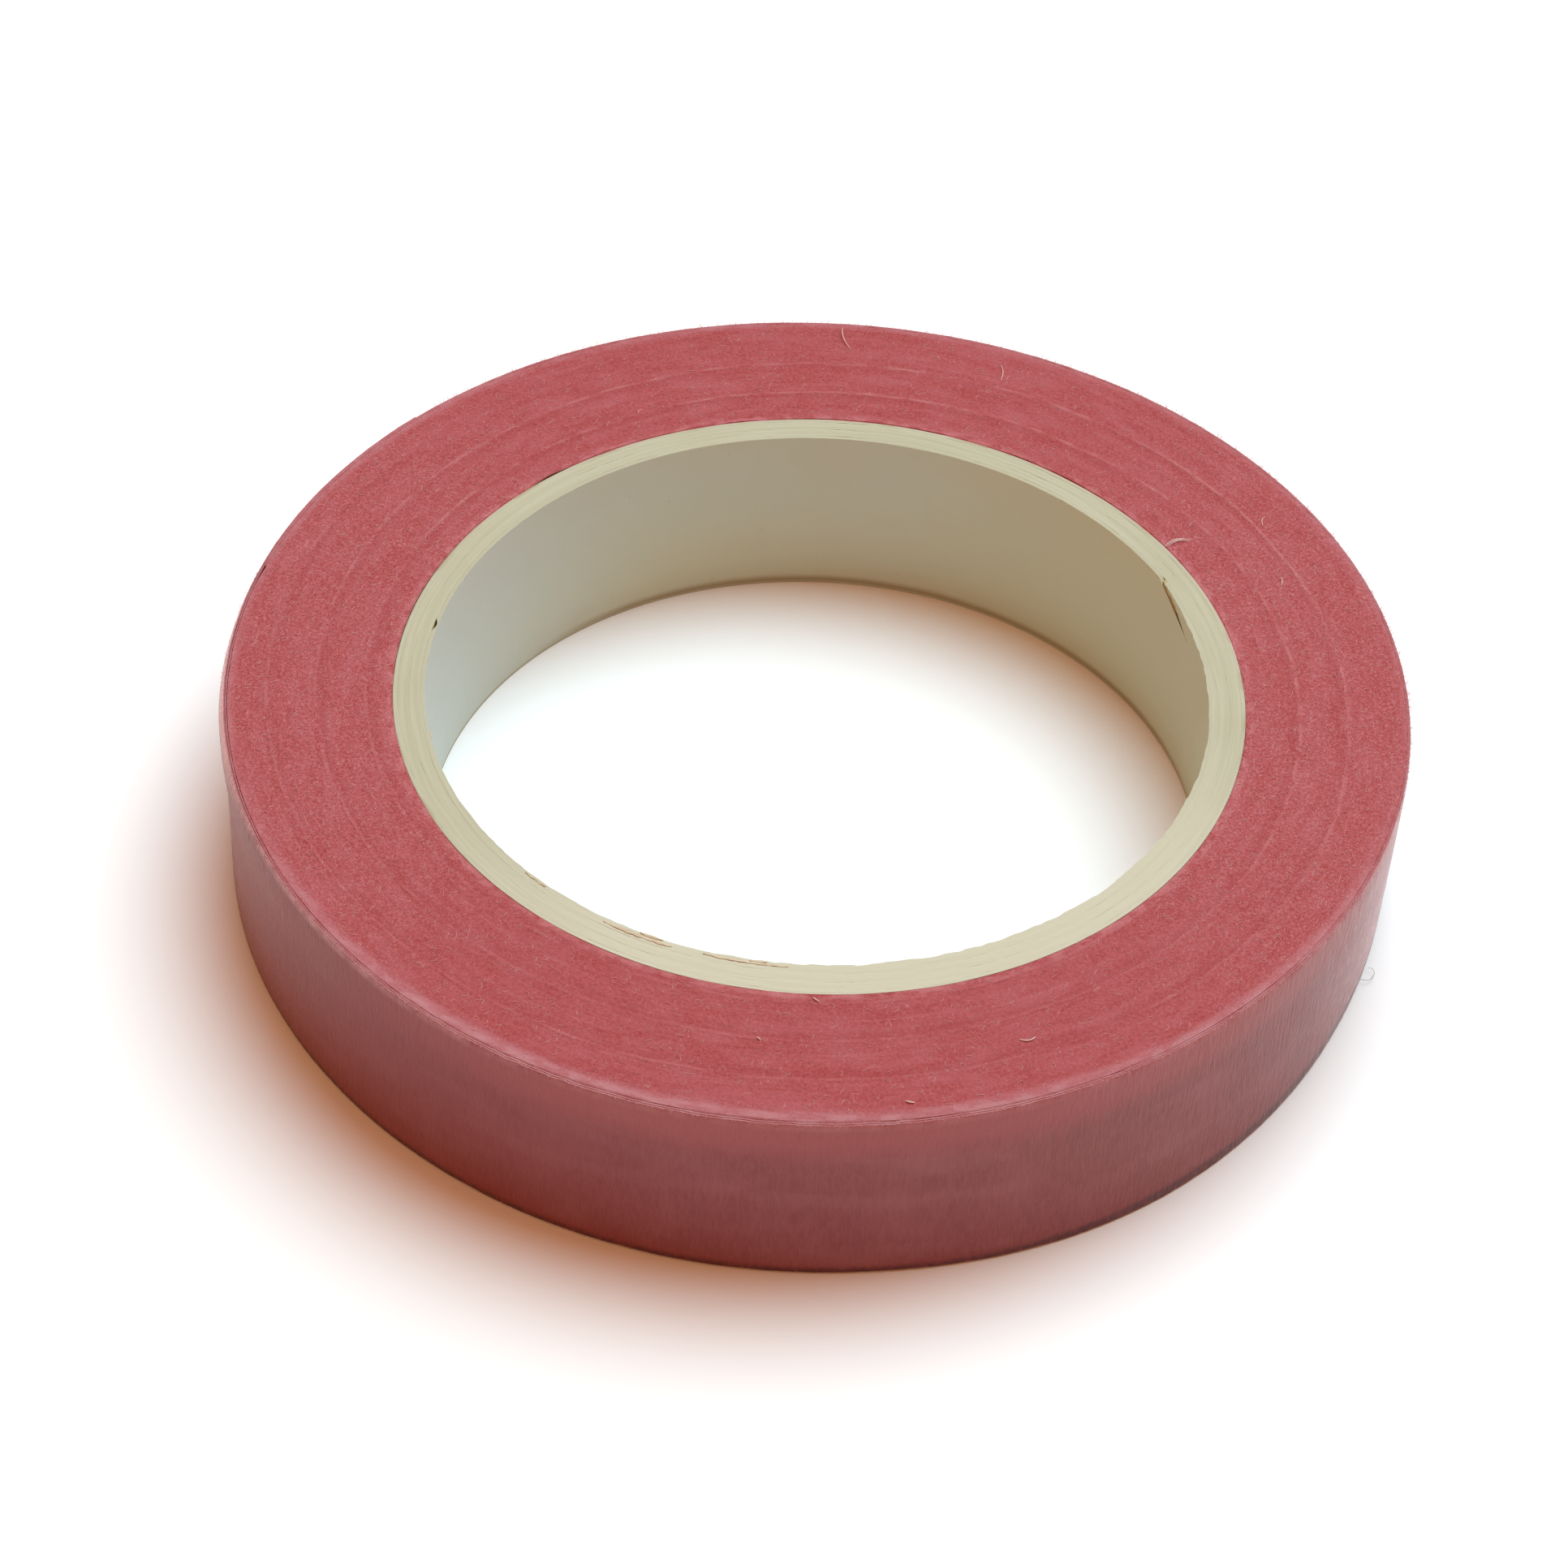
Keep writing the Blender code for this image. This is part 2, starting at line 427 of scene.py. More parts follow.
# Painted contact shade at the wall's foot.
FOOT_SHADE_COLOUR = (0.085, 0.012, 0.020)
STICKY_ROSE = (0.520, 0.260, 0.230)
STICKY_PALE = (0.620, 0.360, 0.320)
BOARD = (0.408, 0.394, 0.278)
BOARD_PALE = (0.448, 0.434, 0.318)
BOARD_FRAYED = (0.536, 0.512, 0.396)
BOARD_BROWN = (0.280, 0.200, 0.100)
KRAFT = (0.480, 0.390, 0.150)
TORN_BROWN = (0.460, 0.360, 0.235)
TORN_PALE = (0.600, 0.510, 0.380)
LINER = (0.505, 0.560, 0.475)
LINER_WARM = (0.525, 0.520, 0.380)
# Painted cool light tint of the liner.
LINER_COOL = (0.505, 0.565, 0.545)
# Painted warm light tint of the liner.
LINER_WARM_TINT = (0.520, 0.520, 0.350)
FLUFF = (0.700, 0.420, 0.420)
LINT = (0.760, 0.560, 0.540)
LINT_DEEP = (0.620, 0.460, 0.420)
HAIR_GREY = (0.160, 0.130, 0.140)
HAIR_PALE = (0.220, 0.180, 0.190)
FLOOR = (0.900, 0.900, 0.900)
FLOOR_PALE = (0.920, 0.920, 0.920)

# Sides of the roll where a finish changes, as angles round it.
FLUFFY_SIDE = 0.0
# Side where the liner gets a painted warm light tint.
WARM_TINT_LINER_SIDE = math.radians(22)
CLEAR_CREASE_SIDE = math.radians(65)
# Side where the liner's foot gets painted contact shade.
LINER_CONTACT_SHADE_SIDE = math.radians(75)
# Side where the loose turns get a painted light band.
LOOSE_SIDE = math.radians(172)
# Side where the liner gets a painted cool light tint.
COOL_LINER_SIDE = math.radians(190)
# Side where the wall gets painted shade.
PAINTED_SHADE_SIDE = math.radians(210)
# Side where the face's outer rim is palest, from fuzz and painted sheen.
HAZY_RIM_SIDE = math.radians(274)
FRAYED_BOARD_SIDE = math.radians(283)
FRESH_SIDE = math.radians(285)
# Side where the wall's painted foot shade rises higher.
FOOT_SHADE_RISE_SIDE = math.radians(330)
# Side where the wall gets painted sheen.
SHEEN_SIDE = math.radians(355)


def crease_offset(f):
    """Distance in mm from the crease that spirals over the face, inwards positive."""
    x, y, _ = f.split(f.vector("NORMALIZE", f.flat()))
    turns = f.math("DIVIDE", f.math("SUBTRACT", f.math("ARCTAN2", y, x), CREASE_START), FULL_TURN)
    centred = f.math("SUBTRACT", f.radius(), f.math("MULTIPLY", y, CREASE_OFFSET / MM))
    inward = f.math("DIVIDE", f.math("SUBTRACT", CREASE_OUTER / MM, centred), CREASE_PITCH / MM)
    passes = f.math("SUBTRACT", inward, turns)
    wobble = f.math("MULTIPLY", f.noise(f.wound(7.0, 3.0), detail=3.0), 0.12)
    passes = f.math("ADD", passes, f.math("SUBTRACT", wobble, 0.06))
    off_line = f.math("SUBTRACT", passes, f.math("ROUND", passes))
    return f.math("MULTIPLY", off_line, CREASE_PITCH / MM)


def crease_lines(f):
    """The dashed spiral crease of the slit face, and the soft shade just inside it."""
    offset = crease_offset(f)
    outer, inner = CREASE_OUTER / MM, CREASE_INNER / MM
    on_face = f.both(f.ramp(f.radius(), outer, outer + 0.8, 1.0, 0.0),
                     f.ramp(f.radius(), inner - 0.4, inner))
    dashes = f.ramp(f.noise(f.wound(3.0, 2.0), detail=4.0), 0.38, 0.66)
    crease = f.both(f.ramp(f.math("ABSOLUTE", offset), 0.06, 0.30, 1.0, 0.0), dashes, on_face)
    shade = f.both(f.ramp(offset, 0.10, 0.40), f.ramp(offset, 0.50, 1.50, 1.0, 0.0), on_face)
    return crease, shade


def felt_colour(f, felt, pits):
    """Rose felt with clouds of rubbed fibres, fine strands and dark pits."""
    cloud = f.noise(f.wound(5.0, 1.3), detail=5.0)
    haze = f.noise(f.wound(11.0, 2.2), detail=4.0)
    turns = f.noise(f.wound(20.0, 0.22), detail=2.0)
    colour = f.mix(f.ramp(felt, 0.30, 0.68, 0.20, 1.0), ROSE_DEEP, ROSE)
    colour = f.mix(f.ramp(cloud, 0.35, 0.75, 0.0, 0.45), colour, ROSE_HAZE)
    colour = f.mix(f.ramp(haze, 0.46, 0.76, 0.0, 0.30), colour, ROSE_HAZE)
    colour = f.mix(f.ramp(turns, 0.56, 0.74, 0.0, 0.08), colour, ROSE_FIBRE)
    fluffy = f.ramp(f.math("ABSOLUTE", f.toward(FLUFFY_SIDE)), 0.50, 0.95, 0.12, 0.42)
    for scale, width in ((2.10, 0.040), (3.20, 0.055)):
        strands = f.strands(f.rest(), scale, width)
        colour = f.mix(f.both(strands, fluffy), colour, ROSE_FIBRE)
    pitted = f.math("MULTIPLY", fluffy, 2.2)
    return f.mix(f.both(f.ramp(pits, 0.60, 0.72), pitted), colour, ROSE_DEEP)


def pale_rims(f, colour):
    """The slit face is paler along the tube and along its outer rim, most at the front; the outer
    rim's pale is partly fuzz and partly painted sheen.
    """
    fuzz = f.ramp(f.noise(f.wound(2.0, 0.8), detail=3.0), 0.36, 0.66)
    inner_rim = TUBE_RADIUS / MM
    inner = f.ramp(f.radius(), inner_rim + 0.1, inner_rim + 1.3, 0.40, 0.0)
    colour = f.mix(f.both(fuzz, inner), colour, ROSE_FIBRE)
    # Outer rim: partly fuzz, partly painted sheen.
    outer_rim = ROLL_RADIUS / MM
    front = f.ramp(f.toward(HAZY_RIM_SIDE), 0.10, 0.75)
    wide = f.ramp(f.radius(), outer_rim - 2.3, outer_rim - 0.8, 0.0, 0.75)
    narrow = f.ramp(f.radius(), outer_rim - 1.3, outer_rim - 0.1, 0.0, 0.45)
    outer = f.math("MAXIMUM", f.both(wide, front), narrow)
    return f.mix(f.both(f.ramp(fuzz, 0.0, 1.0, 0.55, 1.0), outer), colour, RIM_HAZE)


def face_finish():
    """Slit face of the wound tape: matt felt of fine fibres, pale where it is rubbed, with painted
    sheen in the pale of its outer rim.
    """
    f = Finish("crepe_slit_face", 0.85, specular=0.16)
    felt = f.noise(f.rest(), scale=3.4, detail=3.0)
    pits = f.noise(f.rest(), scale=5.2, detail=1.0)
    crease, shade = crease_lines(f)
    colour = felt_colour(f, felt, pits)
    colour = f.mix(f.math("MULTIPLY", shade, 0.20), colour, ROSE_DEEP)
    clear = f.ramp(f.toward(CLEAR_CREASE_SIDE), -0.6, 0.6, 0.13, 0.32)
    colour = f.mix(f.both(crease, clear), colour, ROSE_FIBRE)
    colour = pale_rims(f, colour)
    normal = f.bump(felt, 0.06)
    normal = f.bump(pits, -0.03, normal)
    normal = f.bump(crease, 0.05, normal)
    return f.finish(colour, normal)


def crepe_colour(f, fold, cloud, fibre):
    """Rose of the wall: painted shade deeper in the fold hollows and on one side, with pale clouds,
    bands and fibres.
    """
    band = f.noise(f.vector("MULTIPLY", f.rest(), (0.3, 0.3, 1.6)), scale=0.22, detail=2.0)
    # Painted shade: the hollows of the folds get the deeper rose.
    colour = f.mix(f.ramp(fold, 0.32, 0.68), WALL_FOLD_SHADE, WALL_ROSE)
    colour = f.mix(f.ramp(cloud, 0.42, 0.72, 0.0, 0.30), colour, WALL_PALE)
    colour = f.mix(f.ramp(band, 0.50, 0.68, 0.0, 0.20), colour, WALL_PALE)
    colour = f.mix(f.ramp(fibre, 0.62, 0.76, 0.0, 0.18), colour, WALL_PALE)
    # Painted shade: one side of the wall is darkened towards WALL_SHADED.
    return f.mix(f.ramp(f.toward(PAINTED_SHADE_SIDE), 0.55, 1.0, 0.0, 0.60), colour, WALL_SHADED)


def wall_wear_and_sheen(f, colour, streak):
    """Wear and painted light on the wall: an upper edge pale where rubbed and with painted sheen, a
    fresher upper front, painted sheen on one side, and a painted light band on the loose turns.
    """
    height, top = f.height(), WIDTH / MM
    patches = f.vector("MULTIPLY", f.rest(), (1, 1, 0.5))
    # The upper edge is paler: partly its worn, fuzzy slit edge, partly painted sheen.
    wear_and_sheen_patches = f.ramp(f.noise(patches, scale=0.6, detail=4.0), 0.20, 0.70)
    edge = f.ramp(height, top - 1.2, top - 0.3)
    colour = f.mix(f.both(wear_and_sheen_patches, edge), colour, WALL_EDGE)
    fresh = f.ramp(f.toward(FRESH_SIDE), 0.35, 0.90, 0.0, 0.7)
    colour = f.mix(f.both(fresh, f.ramp(height, top - 6.0, top - 2.0)), colour, WALL_FRESH)
    # Painted sheen: the wall's far side is paled, with silver streaks, in place of its grazing
    # reflection.
    sheen_streaks = f.ramp(f.toward(SHEEN_SIDE), 0.86, 1.0, 0.0, 0.44)
    colour = f.mix(f.both(sheen_streaks, f.ramp(streak, 0.46, 0.66)), colour, WALL_SHEEN)
    painted_sheen = f.ramp(f.toward(SHEEN_SIDE), 0.93, 1.0, 0.0, 0.30)
    colour = f.mix(painted_sheen, colour, WALL_SHEEN)
    # Painted light: a pale band below the top edge where the loose turns lean in, lit and sheened
    # from above.
    loose = f.ramp(f.toward(LOOSE_SIDE), 0.84, 0.98)
    painted_light_band = f.ramp(height, top - 1.9, top - 0.6, 0.0, 0.90)
    return f.mix(f.both(loose, painted_light_band), colour, WALL_LIT_BAND)


def shaded_wall_foot(f, colour):
    """Painted contact shade at the wall's foot: the rose deepens low down, and a broken dark line
    rises at one side.
    """
    height = f.height()
    # Painted shade: darker towards the foot, where it meets the table.
    colour = f.mix(f.ramp(height, 0.2, 1.8, 0.50, 0.0), colour, ROSE_DEEP)
    broken_up = f.ramp(f.noise(f.rest(), scale=1.6, detail=3.0), 0.25, 0.60, 0.45, 1.0)
    raised = f.ramp(f.toward(FOOT_SHADE_RISE_SIDE), 0.7, 1.0, 0.0, 0.7)
    shade_line = f.ramp(f.math("SUBTRACT", height, raised), 0.40, 1.20, 1.0, 0.0)
    return f.mix(f.both(broken_up, shade_line), colour, FOOT_SHADE_COLOUR)


def wall_finish():
    """Outer side of the crepe paper: satin, with fine folds across the strip."""
    f = Finish("crepe_outer_side", 0.42)
    f.surface.inputs["Sheen Weight"].default_value = 0.36
    f.surface.inputs["Sheen Roughness"].default_value = 0.22
    f.surface.inputs["Sheen Tint"].default_value = (1.0, 0.93, 0.95, 1.0)
    fold = f.noise(f.vector("MULTIPLY", f.rest(), (1, 1, 0.25)), scale=2.8, detail=3.0,
                   distortion=0.7)
    streak = f.noise(f.vector("MULTIPLY", f.rest(), (1, 1, 0.13)), scale=4.0, detail=2.0,
                     distortion=0.4)
    cloud = f.noise(f.rest(), scale=0.14, detail=3.0)
    fibre = f.noise(f.rest(), scale=6.0, detail=2.0)
    colour = crepe_colour(f, fold, cloud, fibre)
    colour = wall_wear_and_sheen(f, colour, streak)
    colour = shaded_wall_foot(f, colour)
    normal = f.bump(fold, 0.08)
    normal = f.bump(streak, 0.10, normal)
    normal = f.bump(fibre, 0.012, normal)
    return f.finish(colour, normal, f.ramp(cloud, 0.2, 0.8, 0.36, 0.48))


def sticky_finish():
    """Inner side of the tape: the adhesive coat, glossy over the same folds."""
    f = Finish("adhesive_side", 0.22)
    across = f.vector("MULTIPLY", f.rest(), (1, 1, 0.10))
    fold = f.noise(across, scale=2.0, detail=3.0)
    blotch = f.noise(f.rest(), scale=0.8, detail=3.0)
    colour = f.mix(f.ramp(blotch, 0.35, 0.7), STICKY_ROSE, STICKY_PALE)
    normal = f.bump(fold, 0.08)
    return f.finish(colour, normal, f.ramp(blotch, 0.3, 0.7, 0.16, 0.34))


def board_finish():
    """Cut edge of the paperboard tube: cream, matt, faintly streaked by its plies."""
    f = Finish("paperboard", 0.86, specular=0.2)
    layers = f.noise(f.wound(26.0, 0.40), detail=3.0)
    fibre = f.noise(f.wound(1.2, 0.40), detail=3.0)
    stain = f.noise(f.rest(), scale=0.10, detail=2.0)
    colour = f.mix(f.ramp(layers, 0.30, 0.70), BOARD, BOARD_PALE)
    colour = f.mix(f.ramp(fibre, 0.62, 0.82, 0.0, 0.12), colour, BOARD_PALE)
    colour = f.mix(f.ramp(stain, 0.46, 0.75, 0.0, 0.08), colour, BOARD_BROWN)
    # A broken brown line along the rim next to the tape.
    brown_line = f.ramp(f.noise(f.wound(5.0, 1.5), detail=2.0), 0.52, 0.68, 0.0, 0.40)
    near_tape = f.ramp(f.radius(), TUBE_RADIUS / MM - 0.45, TUBE_RADIUS / MM - 0.05)
    colour = f.mix(f.both(brown_line, near_tape), colour, BOARD_BROWN)
    frayed = f.ramp(f.toward(FRAYED_BOARD_SIDE), 0.30, 0.85, 0.0, 0.75)
    colour = f.mix(frayed, colour, BOARD_FRAYED)
    normal = f.bump(layers, 0.015)
    normal = f.bump(fibre, 0.015, normal)
    return f.finish(colour, normal)


def kraft_finish():
    """Side of the brown board behind the liner, seen only through the liner's seam."""
    f = Finish("kraft_board", 0.85, specular=0.2)
    fibre = f.noise(f.rest(), scale=1.6, detail=3.0)
    colour = f.mix(f.ramp(fibre, 0.30, 0.60), BOARD_BROWN, KRAFT)
    return f.finish(colour, f.bump(fibre, 0.03))


def torn_finish():
    """Torn shreds on the tube's edge: brown fibres of the inner board."""
    f = Finish("torn_board", 0.88, specular=0.2)
    shred = f.noise(f.wound(2.5, 0.12), detail=3.0)
    colour = f.mix(f.ramp(shred, 0.35, 0.65), TORN_BROWN, TORN_PALE)
    return f.finish(colour, f.bump(shred, 0.08))


def liner_finish():
    """Inner paper of the tube: smooth, grey-buff, a little warmer low down, with painted light
    tints, cool on one side and warm on the other, and painted contact shade at its foot.
    """
    f = Finish("liner_paper", 0.58, specular=0.35)
    cloud = f.noise(f.rest(), scale=0.09, detail=3.0)
    fibre = f.noise(f.rest(), scale=2.2, detail=4.0)
    fleck = f.noise(f.rest(), scale=1.1, detail=1.0)
    colour = f.mix(f.ramp(f.height(), 0.0, 16.0), LINER_WARM, LINER)
    colour = f.mix(f.ramp(cloud, 0.40, 0.7, 0.0, 0.35), colour, LINER_WARM)
    colour = f.mix(f.ramp(fibre, 0.60, 0.78, 0.0, 0.18), colour, BOARD_PALE)
    colour = f.mix(f.ramp(fleck, 0.76, 0.82, 0.0, 0.22), colour, BOARD_BROWN)
    # Painted light tints: cooler where the cool lamp reaches the bore, warmer where the warm room
    # lights it.
    cool = f.ramp(f.toward(COOL_LINER_SIDE), 0.20, 1.0, 0.0, 0.8)
    colour = f.mix(cool, colour, LINER_COOL)
    warm_tint = f.ramp(f.toward(WARM_TINT_LINER_SIDE), 0.45, 1.0, 0.0, 0.9)
    colour = f.mix(warm_tint, colour, LINER_WARM_TINT)
    # Painted contact shade: a soft brown line along the liner's foot over part of the bore.
    shaded_arc = f.ramp(f.toward(LINER_CONTACT_SHADE_SIDE), 0.35, 0.75)
    foot = f.ramp(f.height(), 0.4, 1.4, 0.75, 0.0)
    colour = f.mix(f.both(shaded_arc, foot), colour, BOARD_BROWN)
    return f.finish(colour, f.bump(fibre, 0.02))


def lint_finish(name, colour, other_colour):
    """Loose paper fibres, lint and hair, each of two mingled colours."""
    f = Finish(name, 0.7, specular=0.3)
    tone = f.noise(f.rest(), scale=3.0)
    return f.finish(f.mix(tone, colour, other_colour), f.bump(tone, 0.005))


# ------ paperboard tube
PLY_GROOVE = 0.004 * MM
PLY_COLUMNS = 1000

# The plies' cut edges are rounded, wavy and grainy by these amounts.
CUT_ROUNDING = 0.012 * MM
CUT_WAVES = 0.020 * MM
CUT_GRAIN = 0.012 * MM

# The liner's top edge is ragged, reaching into the bore by these amounts, with a nick.
BURR_ANGLES = np.radians([188, 215, 250, 280, 320, 360, 378, 385, 388.7])
BURR_REACHES = np.array([0.0, 0.35, 0.62, 0.72, 0.60, 0.48, 0.44, 0.14, 0.0]) * MM
NICK_FROM = math.radians(168.6)
NICK_TO = math.radians(171.4)
NICK_DEPTH = 0.28 * MM

# A ply's section has its points across the cut edges and up the sides, here as
# shares of the width and of the height.
PLY_ACROSS = np.linspace(0, 1, 9)
PLY_LEVELS = np.array([0.985, 0.95, 0.86, 0.7, 0.5, 0.3, 0.14, 0.015])

# Torn shreds: start and end in degrees, middle radius and width in mm.
SHREDS = ((240.5, 251.0, 38.02, 0.42), (255.5, 267.5, 37.86, 0.30),
          (246.0, 249.5, 37.62, 0.26), (262.0, 264.5, 37.60, 0.20),
          (226.0, 230.0, 37.90, 0.16), (193.0, 195.0, 37.86, 0.16))


def ply_sections(number, inner, outer, angle, edge_burr, nick):
    """Cross-sections of a ply of the tube, from its bore's top edge round."""
    across = PLY_ACROSS
    rim_noise = across / 2
    turn = angle / FULL_TURN
    top = WIDTH - CUT_ROUNDING * (2 * across - 1) ** 6
    top = top + CUT_WAVES * value_noise(12, turn, rim_noise, 70, 9)
    top = top + CUT_GRAIN * value_noise(number + 40, turn, rim_noise, 420, 13)
    reach = inner + (outer - inner - nick) * across - edge_burr * (1 - across) ** 1.5
    rim = polar(reach, angle, top)
    near_top = np.clip((PLY_LEVELS - 0.93) / 0.055, 0, 1)
    outside = polar(outer - nick * near_top, angle, WIDTH * PLY_LEVELS)
    bottom = polar(outer + (inner - outer) * across, angle, OFF_TABLE)
    inside = polar(inner - edge_burr * near_top[::-1] ** 2, angle, WIDTH * PLY_LEVELS[::-1])
    return np.concatenate([rim, outside, bottom, inside], axis=1)


def seam_angle(below_top):
    """Where the liner's seam runs at a depth below the upper face."""
    return LINER_SEAM - below_top / SEAM_SLOPE / BORE_RADIUS


def seam_opening(below_top):
    """Width of the liner's open seam, which swells below the top and closes."""
    return SEAM_GAP * np.sin(np.pi * np.clip(0.16 + 0.84 * below_top / SEAM_CLOSES, 0, 1))


def slant_seam(sections):
    """Cuts a ply open along a helical seam: its loops lean as the seam does."""
    below_top = WIDTH - sections[..., 2]
    radius = np.hypot(sections[..., 0], sections[..., 1])
    half_gap = (seam_opening(below_top) + CLOSED_SEAM_GAP) / 2 / BORE_RADIUS
    share = np.linspace(0, 1, len(sections))[:, None]
    angle = seam_angle(below_top) + half_gap + share * (FULL_TURN - 2 * half_gap)
    return polar(radius, angle, sections[..., 2])


def make_core(board, liner, kraft):
    """The tube's four plies, whose bore side has a finish of its own."""
    board_ply = (TUBE_RADIUS - BORE_RADIUS - 2 * PLY_THICKNESS) / 2
    plies = (("core_liner", "core_liner_ply", PLY_THICKNESS),
             ("core_board_inner", "core_board_ply_inner", board_ply),
             ("core_board_outer", "core_board_ply_outer", board_ply),
             ("core_outer_paper", "core_outer_ply", PLY_THICKNESS))
    in_bore = len(PLY_LEVELS)
    slots = [0] * (2 * len(PLY_ACROSS) + len(PLY_LEVELS)) + [1] * in_bore
    radius = BORE_RADIUS
    for number, (name, node, thickness) in enumerate(plies, 11):
        inner, outer = radius, radius + thickness - PLY_GROOVE
        radius += thickness
        lined = name == "core_liner"
        angle = LINER_SEAM + np.linspace(0, FULL_TURN, PLY_COLUMNS, endpoint=lined)[:, None]
        burr, nick = 0 * angle, 0 * angle
        if lined:
            ragged = 1 + 0.10 * round_noise(5, angle, 90) + 0.12 * round_noise(6, angle, 340)
            burr = np.interp(angle, BURR_ANGLES, BURR_REACHES) * ragged + 0.02 * MM
            nick = NICK_DEPTH * bump_window(angle, NICK_FROM, NICK_TO) ** 0.5
        sections = ply_sections(number, inner, outer, angle, burr, nick)
        if lined:
            sections = slant_seam(sections)
        piece = loft(name, sections, (board, liner if lined else kraft), not lined, slots)
        fix(piece, "liner_paper" if lined else "paperboard", node)


def make_seam(kraft):
    """The brown board that shows through the open top of the liner's seam.

    It is a bowed leaf a little narrower than the opening, as deep as the liner.
    """
    below = SEAM_CLOSES * np.linspace(0.02, 0.98, 24)[:, None]
    half = seam_opening(below) / 2 * 0.94
    side = np.array([-1, 0, 1, 1, 0, -1]) * math.sin(math.atan(SEAM_SLOPE))
    depth = np.array([0.06, 0.03, 0.06, 0.39, 0.39, 0.39]) * MM
    height = np.minimum(WIDTH - below + half * side, WIDTH - 0.02 * MM)
    leaf = polar(BORE_RADIUS + depth, seam_angle(below), height)
    piece = loft("core_seam_board", leaf, (kraft,), False)
    fix(piece, "paperboard")


def make_shreds(torn):
    """Torn shreds along the front of the tube's inner edge."""
    for number, (start, end, middle, width) in enumerate(SHREDS, 1):
        share = np.linspace(0, 1, 40)[:, None]
        angle = np.radians(start + (end - start) * share)
        swell = np.sin(np.pi * (0.03 + 0.94 * share)) ** 0.5
        swell = swell * (1 + 0.45 * round_noise(60 + number, angle, 700))
        side = np.array([-1, 0, 1, 1, 0, -1])
        lift = np.array([0.00, 0.05, 0.02, -0.05, -0.02, -0.05]) * MM
        lift = lift + 0.03 * MM * round_noise(70 + number, angle, 500)
        radius = (middle + width / 2 * swell * side) * MM
        piece = loft(f"core_shred_{number}", polar(radius, angle, WIDTH + 0.04 * MM + lift),
                     (torn,), False)
        fix(piece, "paperboard")


# ------ wound tape
def outline(angle):
    """Outer radius of the roll, which is a little out of round."""
    waves = sum(size * np.cos(count * angle - phase) for count, size, phase in OUT_OF_ROUND)
    return ROLL_RADIUS + waves + LOOSE_ROLL * bump_window(angle, LOOSE_FROM, LOOSE_TO) ** 0.6


def rubbed(angle):
    """Near 1 along the front of the roll, where its upper rim is rubbed round, else 0."""
    return bump_window(angle, RUBBED_FROM, RUBBED_TO) ** 0.4


def side_shift(angle, height):
    """How far the roll's side stands off its upper outline lower down."""
    foot = sum(size * bump_window(angle, start, end) ** power
               for size, start, end, power in FOOT_SHIFTS)
    return foot * np.clip(1 - height / WIDTH, 0, 1) ** 1.2


def looseness(angle):
    """About 1 where the outer turns stand off the roll, a little lumpy, else 0."""
    lumps = 1 + 0.12 * round_noise(9, angle, 60)
    return bump_window(angle, LOOSE_FROM, LOOSE_TO) ** 0.6 * lumps


def strip_radius(running, height=WIDTH / 2):
    """Outer radius of the strip at a running angle, with its loose stretch."""
    turns_in = (running - FREE_END) / FULL_TURN
    share = (1 - (1 - LOOSE_SECOND_TURN) * smooth_step(turns_in, 0.3, 0.9)
             - LOOSE_SECOND_TURN * smooth_step(turns_in, 1.3, 1.9))
    below = WIDTH - height
    opens, eases, ends = LOOSE_DEPTHS
    flare = smooth_step(below, 0, opens) * (1 - smooth_step(below, eases, ends))
    slack = LOOSE_AT_EDGE + (LOOSE_BELOW - LOOSE_AT_EDGE) * flare
    return (outline(running) + side_shift(running, height) - TURN_PITCH * turns_in
            + slack * share * looseness(running))


def pack_outer(angle, height):
    """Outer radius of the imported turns, with the step where the outer turns leave."""
    past_root = (angle - TAIL_ROOT) % FULL_TURN
    step_up = 1 - smooth_step(past_root, 0, math.radians(3))
    turns_in = (TAIL_ROOT - FREE_END + past_root) / FULL_TURN + 2 + step_up
    return (outline(angle) + side_shift(angle, height) - TURN_PITCH * turns_in
            - PACK_CLEARANCE - edge_bend(angle, height))


def edge_bend(angle, height):
    """How far the turns lean in near the slit edges, the same for every turn."""
    depth = BEND_DEPTH + (RUBBED_BEND - BEND_DEPTH) * rubbed(angle)
    depth = depth * (1 - 0.6 * np.clip(looseness(angle), 0, 1))
    upper = depth * np.clip(1 - (WIDTH - height) / BEND_HEIGHT, 0, 1) ** 2
    lower = LOWER_BEND * np.clip(1 - height / BEND_HEIGHT, 0, 1) ** 2
    return upper + lower


def shoulder_fall(radius, angle):
    """How far the slit face falls away near the roll's rim."""
    front = rubbed(angle)
    width = SHOULDER + (RUBBED_SHOULDER - SHOULDER) * front
    share = np.clip((radius - outline(angle)) / width + 1, 0, 1)
    return (SHOULDER_FALL + (RUBBED_FALL - SHOULDER_FALL) * front) * share ** 2


def crease_ridge(radius, angle):
    """1 on the crease that spirals over the face, falling to 0 beside it."""
    centred = radius - CREASE_OFFSET * np.sin(angle)
    passes = (CREASE_OUTER - centred) / CREASE_PITCH - (angle - CREASE_START) / FULL_TURN
    away = np.abs(passes - np.round(passes)) * CREASE_PITCH
    on_face = (radius < CREASE_OUTER) & (radius > CREASE_INNER)
    return np.where(on_face, 1 - smooth_step(away, 0, CREASE_HALF_WIDTH), 0)


